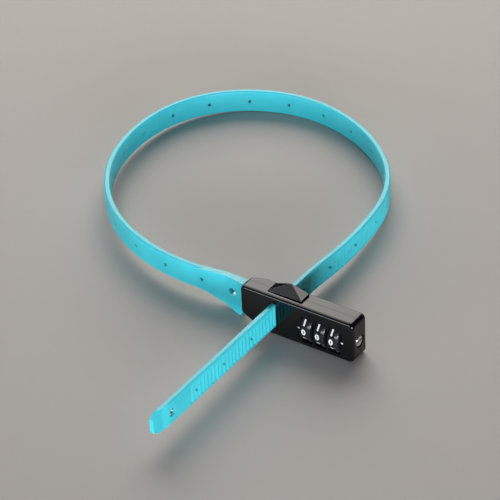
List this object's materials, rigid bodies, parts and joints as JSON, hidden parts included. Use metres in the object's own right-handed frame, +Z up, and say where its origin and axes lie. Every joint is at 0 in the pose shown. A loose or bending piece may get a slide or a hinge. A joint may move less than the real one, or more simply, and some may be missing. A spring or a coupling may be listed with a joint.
{
  "type": "combination strap lock",
  "caption": "Combination lock on a steel-cored toothed nylon strap: the strap loops back through a slim head with number dials, a sliding release and a reset screw.",
  "frame": {"origin": "centre of the lock head's flat underside", "axes": "+X along the head from the strap's fixed end to the reset screw, -Y is the front face with the dials, +Z up across the strap's width"},
  "size_m": [0.1399, 0.1881, 0.0182],
  "materials": {
    "black_shell": "gloss",
    "turquoise_nylon": "satin",
    "dial_black": "satin",
    "zinc": "cast",
    "steel": "brushed",
    "hard_steel": "ground",
    "spring_steel": "drawn",
    "brass": "machined",
    "chrome": "polished"
  },
  "bodies": {
    "lock": {"front_cover": "black_shell", "rear_cover": "black_shell", "chassis": "zinc", "anchor_pin": "steel", "cover_screws": "steel", "strap": "turquoise_nylon", "strap_core": "steel", "hub_spring": "spring_steel", "detent_leaf": "spring_steel"},
    "dial_1": {"dial_1": "dial_black"},
    "dial_2": {"dial_2": "dial_black"},
    "dial_3": {"dial_3": "dial_black"},
    "hub_1": {"hub_1": "brass"},
    "hub_2": {"hub_2": "brass"},
    "hub_3": {"hub_3": "brass"},
    "release": {"release_slider": "black_shell", "carriage": "zinc", "lug_spindle": "zinc", "pawl_spring": "spring_steel"},
    "pawl": {"pawl": "hard_steel"},
    "reset_screw": {"reset_screw": "chrome"},
    "cam_ring": {"cam_ring": "brass"}
  },
  "joints": [
    {"name": "dial_1_turn", "type": "hinge", "parent": "lock", "child": "dial_1", "pos_m": [0.00435, 0, 0.007], "axis": [1, 0, 0], "continuous": true, "deforming": ["detent_leaf"]},
    {"name": "dial_2_turn", "type": "hinge", "parent": "lock", "child": "dial_2", "pos_m": [0.00975, 0, 0.007], "axis": [1, 0, 0], "continuous": true, "deforming": ["detent_leaf"]},
    {"name": "dial_3_turn", "type": "hinge", "parent": "lock", "child": "dial_3", "pos_m": [0.01515, 0, 0.007], "axis": [1, 0, 0], "continuous": true, "deforming": ["detent_leaf"]},
    {"name": "release_slide", "type": "slide", "parent": "lock", "child": "release", "axis": [1, 0, 0], "range_m": [0, 0.0029]},
    {"name": "pawl_ratchet", "type": "slide", "parent": "release", "child": "pawl", "axis": [1, 0, 0], "range_m": [0, 0.0006], "stiffness_N_per_m": 300, "springref_m": -0.0004, "deforming": ["pawl_spring"]},
    {"name": "reset_turn", "type": "hinge", "parent": "lock", "child": "reset_screw", "pos_m": [0.021, 0, 0.007], "axis": [1, 0, 0], "range_deg": [0, 90]},
    {"name": "cam_ring_shift", "type": "slide", "parent": "lock", "child": "cam_ring", "axis": [1, 0, 0], "range_m": [-0.00081, 0]},
    {"name": "hub_1_shift", "type": "slide", "parent": "dial_1", "child": "hub_1", "axis": [1, 0, 0], "range_m": [-0.00081, 0], "deforming": ["hub_spring"]},
    {"name": "hub_2_shift", "type": "slide", "parent": "dial_2", "child": "hub_2", "axis": [1, 0, 0], "range_m": [-0.00081, 0]},
    {"name": "hub_3_shift", "type": "slide", "parent": "dial_3", "child": "hub_3", "axis": [1, 0, 0], "range_m": [-0.00081, 0]}
  ],
  "couplings": [
    {"joint": "cam_ring_shift", "follows": "reset_turn", "m_per_rad": -0.0005093},
    {"joint": "hub_1_shift", "follows": "reset_turn", "m_per_rad": -0.0005093},
    {"joint": "hub_2_shift", "follows": "reset_turn", "m_per_rad": -0.0005093},
    {"joint": "hub_3_shift", "follows": "reset_turn", "m_per_rad": -0.0005093}
  ]
}
